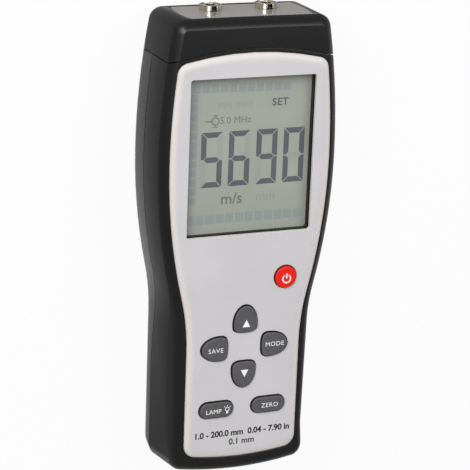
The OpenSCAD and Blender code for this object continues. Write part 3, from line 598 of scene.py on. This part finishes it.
# Arrows are plain triangles, set towards the middle of the pad.
arrow_r = 1.75 * MM
arrow_stretch = (0.95, 1.05, 1)
for key, shift, turn in (("up", -1.5, 0), ("down", 0.5, 180)):
    arrow = bmesh.new()
    bmesh.ops.create_circle(arrow, segments=3, radius=arrow_r, cap_ends=True)
    bmesh.ops.rotate(arrow, verts=arrow.verts, matrix=Matrix.Rotation(math.radians(turn), 3, "Z"))
    lowest = min(v.co.y for v in arrow.verts)
    highest = max(v.co.y for v in arrow.verts)
    bmesh.ops.translate(arrow, verts=arrow.verts, vec=(0, -(lowest + highest) / 2, 0))
    bmesh.ops.scale(arrow, verts=arrow.verts, vec=arrow_stretch)
    bmesh.ops.translate(arrow, verts=arrow.verts, vec=on_key(key, 0.1, shift))
    thicken(arrow, ink_t)
    settle(arrow, key + "_key_arrow", white_ink, key)

# The power sign: a ring open at its top, with a bar through the opening.
power_sign = bmesh.new()
sign_r = 1.48 * MM
line_w = 0.5 * MM
stem_h = 1.9 * MM
stem_up = 1.03 * MM
open_angle = math.radians(64)
start = Matrix.Rotation(open_angle / 2, 3, "Z") @ Vector((0, 1, 0))
edge = [power_sign.verts.new(start * r) for r in (sign_r - line_w / 2, sign_r + line_w / 2)]
power_sign.edges.new(edge)
bmesh.ops.spin(power_sign, geom=power_sign.verts[:] + power_sign.edges[:], cent=(0, 0, 0), axis=(0, 0, 1),
               angle=2 * math.pi - open_angle, steps=28, use_merge=False)
patch(power_sign, 0, stem_up, line_w, stem_h)
bmesh.ops.translate(power_sign, verts=power_sign.verts, vec=on_key("power", 0.15, -0.55))
thicken(power_sign, ink_t)
settle(power_sign, "power_key_sign", white_ink, "power")

# The lamp sign beside its word: a bulb on a short cap, with three rays. Each ray has its middle in
# millimetres and its turn in degrees.
bulb_r = 0.85 * MM
bulb_hole = 0.68
bulb_up = 0.35 * MM
bulb_cap_w = 0.8 * MM
bulb_cap_h = 0.75 * MM
bulb_cap_down = 0.9 * MM
ray_w = 0.22 * MM
ray_h = 0.5 * MM
rays = [(0, 1.65, 0), (-1.05, 1.25, 40), (1.05, 1.25, -40)]
bulb = bmesh.new()
hoop(bulb, bulb_r, bulb_hole, 20)
bmesh.ops.translate(bulb, verts=bulb.verts, vec=(0, bulb_up, 0))
patch(bulb, 0, -bulb_cap_down, bulb_cap_w, bulb_cap_h)
for x, y, turn in rays:
    patch(bulb, x * MM, y * MM, ray_w, ray_h, turn)
bmesh.ops.translate(bulb, verts=bulb.verts, vec=on_key("lamp", 4.0, -0.2))
thicken(bulb, ink_t)
settle(bulb, "lamp_key_sign", white_ink, "lamp")

# Faceplate
# A light grey ABS plate with a pillowed rim, let into the front housing. It carries the
# window and the key holes, and two printed lines of figures near its lower end.

# Satin ABS is a clean light grey with a soft gloss.
plate_abs = moulded("light_grey_abs_satin", "#cbc9cb", "#d1cfd1", 0.5, 0.45, 0.003, 1.52)
# A painted highlight: where the rim turns down it is painted a paler, warmer grey, by the z of its normal,
# for the light it catches there.
rim_turned = 0.975
rim_flat = 0.9995
plate_look = add(plate_abs, "ShaderNodeTexCoord").outputs["Normal"]
plate_up = add(plate_abs, "ShaderNodeSeparateXYZ", {"Vector": plate_look})
painted_rim_highlight = add(plate_abs, "ShaderNodeMapRange", {
    "Value": plate_up.outputs["Z"],
    "From Min": rim_turned,
    "From Max": rim_flat,
    "To Min": 1.0,
    "To Max": 0.0,
})
plate_surface = plate_abs.node_tree.nodes["Principled BSDF"]
plate_tone_with_rim_highlight = add(plate_abs, "ShaderNodeMixRGB", {
    "Fac": painted_rim_highlight.outputs["Result"],
    "Color1": plate_surface.inputs["Base Color"].links[0].from_socket,
    "Color2": linear("#d9d5d2"),
})
plate_abs.node_tree.links.new(plate_tone_with_rim_highlight.outputs["Color"], plate_surface.inputs["Base Color"])
plate = dressed("faceplate", "faceplate_cover", plate_abs, edge_mm=0.18)
# The key holes close up by about as much as the keys.
hole_shrink = 0.957
hole_reach = 8.3 * MM
key_middles = [on_key(key) for key in ("power", "up", "down", "left", "right", "lamp", "zero")]
for point in plate.data.vertices:
    middle = min(key_middles, key=lambda m: (m.xy - point.co.xy).length)
    if (middle.xy - point.co.xy).length < hole_reach:
        point.co.x = middle.x + (point.co.x - middle.x) * hole_shrink
        point.co.y = middle.y + (point.co.y - middle.y) * hole_shrink
# Black screen ink is flat and opaque, with a soft gloss.
black_ink = moulded("black_screen_ink", "#161616", "#1c1c1c", 0.3, 0.5, 0.002)
plate_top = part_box("faceplate")[1].z + ink_lift
print_from = on_key("lamp").y
range_at = (0.5 * MM, print_from - 9.8 * MM, plate_top)
step_at = (0.4 * MM, print_from - 13.3 * MM, plate_top)
range_h = 2.35 * MM
step_h = 2.4 * MM
words("plate_range_line", "1.0 - 200.0 mm  0.04 - 7.90 in", range_h, range_at, black_ink, "case",
      bold=0.10 * MM, spacing=0.97, depth=ink_t)
words("plate_step_line", "0.1 mm", step_h, step_at, black_ink, "case",
      bold=0.06 * MM, depth=ink_t)

# Top cap and its panel
# A separate black ABS cap closes the head above a dark groove. A glossy grey panel is let
# into its top, where the probe sockets are fixed.
cap_shell = dressed("top_cap", "top_cap_shell", black_abs, shell_sharp)

# The crease between the cap's flat front and the bevel round it is rolled over, not sharp.
crease_w = 1.2 * MM
front_up = 0.999
bevel_up = (0.5, 0.998)
cap_shape = bmesh.new()
cap_shape.from_mesh(cap_shell.data)
crease = []
for line in cap_shape.edges:
    lean = sorted(face.normal.z for face in line.link_faces)
    if len(lean) == 2 and lean[1] > front_up and bevel_up[0] < lean[0] < bevel_up[1]:
        crease.append(line)
bmesh.ops.bevel(cap_shape, geom=crease, offset=crease_w, offset_type="OFFSET", segments=4, profile=0.5,
                affect="EDGES", clamp_overlap=True, material=-1)
for face in cap_shape.faces:
    face.smooth = True
cap_shape.to_mesh(cap_shell.data)
cap_shape.free()
crown_walls(cap_shell, -1)

# The panel comes from a polished mould, so it mirrors softly and shows no grain.
panel_gloss = moulded("glossy_grey_panel", "#8b8886", "#93908e", 3.0, 0.14, 0.001, 1.5)
dressed("connector_panel", "connector_panel_inlay", panel_gloss, edge_mm=0.1)

# Probe sockets
# Two coaxial sockets of turned brass, nickel plated. Each is held by a slotted round nut,
# and a white insulator carries its gold-plated centre contact.

# Nickel over turned brass is bright and warm, and its turning marks blur what it mirrors.
warm_nickel = plated("bright_nickel_plate", "#e2d9c6", 0.16, 0.4)
# Painted shade: the slots of the nuts and the thread behind them are painted a dark, dull metal, for the
# shade inside the slots.
painted_shade_slot_and_thread = plated("painted_shade_socket_slot", "#2c2924", 0.45, 0.4)
# Gold plate is a soft deep yellow.
gold_plate = plated("gold_plate", "#d9b65a", 0.22, 0.4)
# Turned plastic is creamy white and waxy.
white_insulator = moulded("white_turned_insulator", "#e4e1d7", "#ebe8de", 0.6, 0.45, 0.004)
# Extruded lead jacket is a smooth dull black.
lead_jacket = moulded("black_lead_jacket", "#25252a", "#2d2d32", 0.6, 0.5, 0.006)
socket_sharp = 35
nut_edge_mm = 0.16
barrel_edge_mm = 0.12
nut_share = 0.88
mouth_share = 0.68
mouth_lift = 0.25 * MM
mouth_r = 3.1 * MM
thread_r = 3.2 * MM
slot_half = 1.2 * MM
slot_from = 3.0 * MM
seat_depth = 0.1 * MM
rim_depth = 0.05 * MM
thread_look = 0.5
panel_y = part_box("connector_panel")[1].y
for side in ("left", "right"):
    nut = dressed("socket_nut_" + side, "socket_nut_ring_" + side, warm_nickel,
                  socket_sharp, nut_edge_mm)
    barrel = dressed("socket_shell_" + side, "socket_barrel_" + side, warm_nickel,
                     socket_sharp, barrel_edge_mm)
    nut_low, nut_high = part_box("socket_nut_" + side)
    axis = (nut_low + nut_high) / 2
    # The slots, and the thread whose faces look across the socket, take the painted shade.
    for piece in (nut, barrel):
        piece.data.materials.append(painted_shade_slot_and_thread)
    for face in nut.data.polygons:
        off = face.center - axis
        if abs(off.x) < slot_half and abs(off.z) > slot_from:
            face.material_index = 1
    for face in barrel.data.polygons:
        off = face.center - axis
        if math.hypot(off.x, off.z) > thread_r and abs(face.normal.y) < thread_look:
            face.material_index = 1
    # Both close in round the mouth of the socket, which stands nearly level with the nut.
    barrel_top = max(v.co.y for v in barrel.data.vertices)
    for piece in (nut, barrel):
        for point in piece.data.vertices:
            off = point.co - axis
            closed = mouth_share if math.hypot(off.x, off.z) < mouth_r else nut_share
            if point.co.y > panel_y - seat_depth:
                point.co.x = axis.x + off.x * closed
                point.co.z = axis.z + off.z * closed
            if piece is barrel and point.co.y > barrel_top - rim_depth:
                point.co.y += mouth_lift
    clad(white_insulator, "socket_insulator_" + side)
    clad(gold_plate, "socket_contact_" + side)
clad(lead_jacket, "socket_leads")

# Floor
# A plain pale studio floor, painted matt. It shows itself nearly white to the camera and pale
# grey in gloss, and keeps a soft shadow below the gauge.
floor_half = 2.0
floor_drop = 0.02 * MM
seen_share = 0.92
shone_share = 0.9
floor_paint = bpy.data.materials.new("pale_studio_floor")
floor_paint.use_nodes = True
floor_paint.node_tree.nodes.clear()
path = add(floor_paint, "ShaderNodeLightPath")
matt = add(floor_paint, "ShaderNodeBsdfDiffuse", {"Color": linear("#e4e4e4")})
white = add(floor_paint, "ShaderNodeEmission", {"Color": linear("#ffffff"), "Strength": 1.0})
grey = add(floor_paint, "ShaderNodeEmission", {"Color": linear("#9e9e9e"), "Strength": 1.0})
seen = add(floor_paint, "ShaderNodeMath", {
    0: path.outputs["Is Camera Ray"],
    1: seen_share,
}, operation="MULTIPLY")
shone = add(floor_paint, "ShaderNodeMath", {
    0: path.outputs["Is Glossy Ray"],
    1: shone_share,
}, operation="MULTIPLY")
gloss_side = add(floor_paint, "ShaderNodeMixShader", {
    0: shone.outputs["Value"],
    1: matt.outputs["BSDF"],
    2: grey.outputs["Emission"],
})
blend = add(floor_paint, "ShaderNodeMixShader", {
    0: seen.outputs["Value"],
    1: gloss_side.outputs["Shader"],
    2: white.outputs["Emission"],
})
add(floor_paint, "ShaderNodeOutputMaterial", {"Surface": blend.outputs["Shader"]})
floor_shape = bmesh.new()
bmesh.ops.create_grid(floor_shape, x_segments=1, y_segments=1, size=floor_half)
bmesh.ops.translate(floor_shape, verts=floor_shape.verts, vec=(0, 0, -floor_drop))
floor_mesh = bpy.data.meshes.new("studio_floor")
floor_shape.to_mesh(floor_mesh)
floor_shape.free()
floor_mesh.materials.append(floor_paint)
floor = bpy.data.objects.new("studio_floor", floor_mesh)
bpy.context.scene.collection.objects.link(floor)

# Light
# One large softbox high on the left towards the sockets, a weak one from the sockets' end,
# and an even grey surround.


def softbox(name, place, aim, size, watts):
    """A square area lamp at a place, turned towards its aim."""
    lamp = bpy.data.lights.new(name, "AREA")
    lamp.shape = "SQUARE"
    lamp.size = size
    lamp.energy = watts
    holder = bpy.data.objects.new(name, lamp)
    holder.location = place
    holder.rotation_euler = (Vector(aim) - Vector(place)).to_track_quat("-Z", "Y").to_euler()
    bpy.context.scene.collection.objects.link(holder)


softbox("key_softbox", (-0.6, 0.62, 0.9), (0, 0.03, 0), 0.8, 11.5)
softbox("end_softbox", (0.45, 0.5, 1.0), (0, 0, 0), 0.8, 4.4)
surround_strength = 0.29
surround = bpy.data.worlds.new("studio_surround")
surround.use_nodes = True
surround.node_tree.nodes.clear()
air = add(surround, "ShaderNodeBackground", {"Color": linear("#ffffff"), "Strength": surround_strength})
add(surround, "ShaderNodeOutputWorld", {"Surface": air.outputs["Background"]})
bpy.context.scene.world = surround
bpy.context.scene.view_settings.view_transform = "Standard"

# Camera
# High on the left of the sockets' end, looking down along the gauge with a long lens.
# The picture's own right and down, as directions in the gauge's frame, give its turn.
image_px = 470
focal_px = 2000
right = Vector((0.9284, 0.0370, 0.3697)).normalized()
down = Vector((-0.0786, -0.9529, 0.2928)).normalized()
ahead = right.cross(down).normalized()
down = ahead.cross(right)
eye = Vector((-259.11, 216.53, 648.52)) * MM
lens = bpy.data.cameras.new("gauge_camera")
lens.sensor_width = 36
lens.lens = lens.sensor_width * focal_px / image_px
lens.clip_start = 0.01
camera = bpy.data.objects.new("gauge_camera", lens)
turn = Matrix((right, -down, -ahead)).transposed()
camera.matrix_world = Matrix.Translation(eye) @ turn.to_4x4()
bpy.context.scene.collection.objects.link(camera)
bpy.context.scene.camera = camera
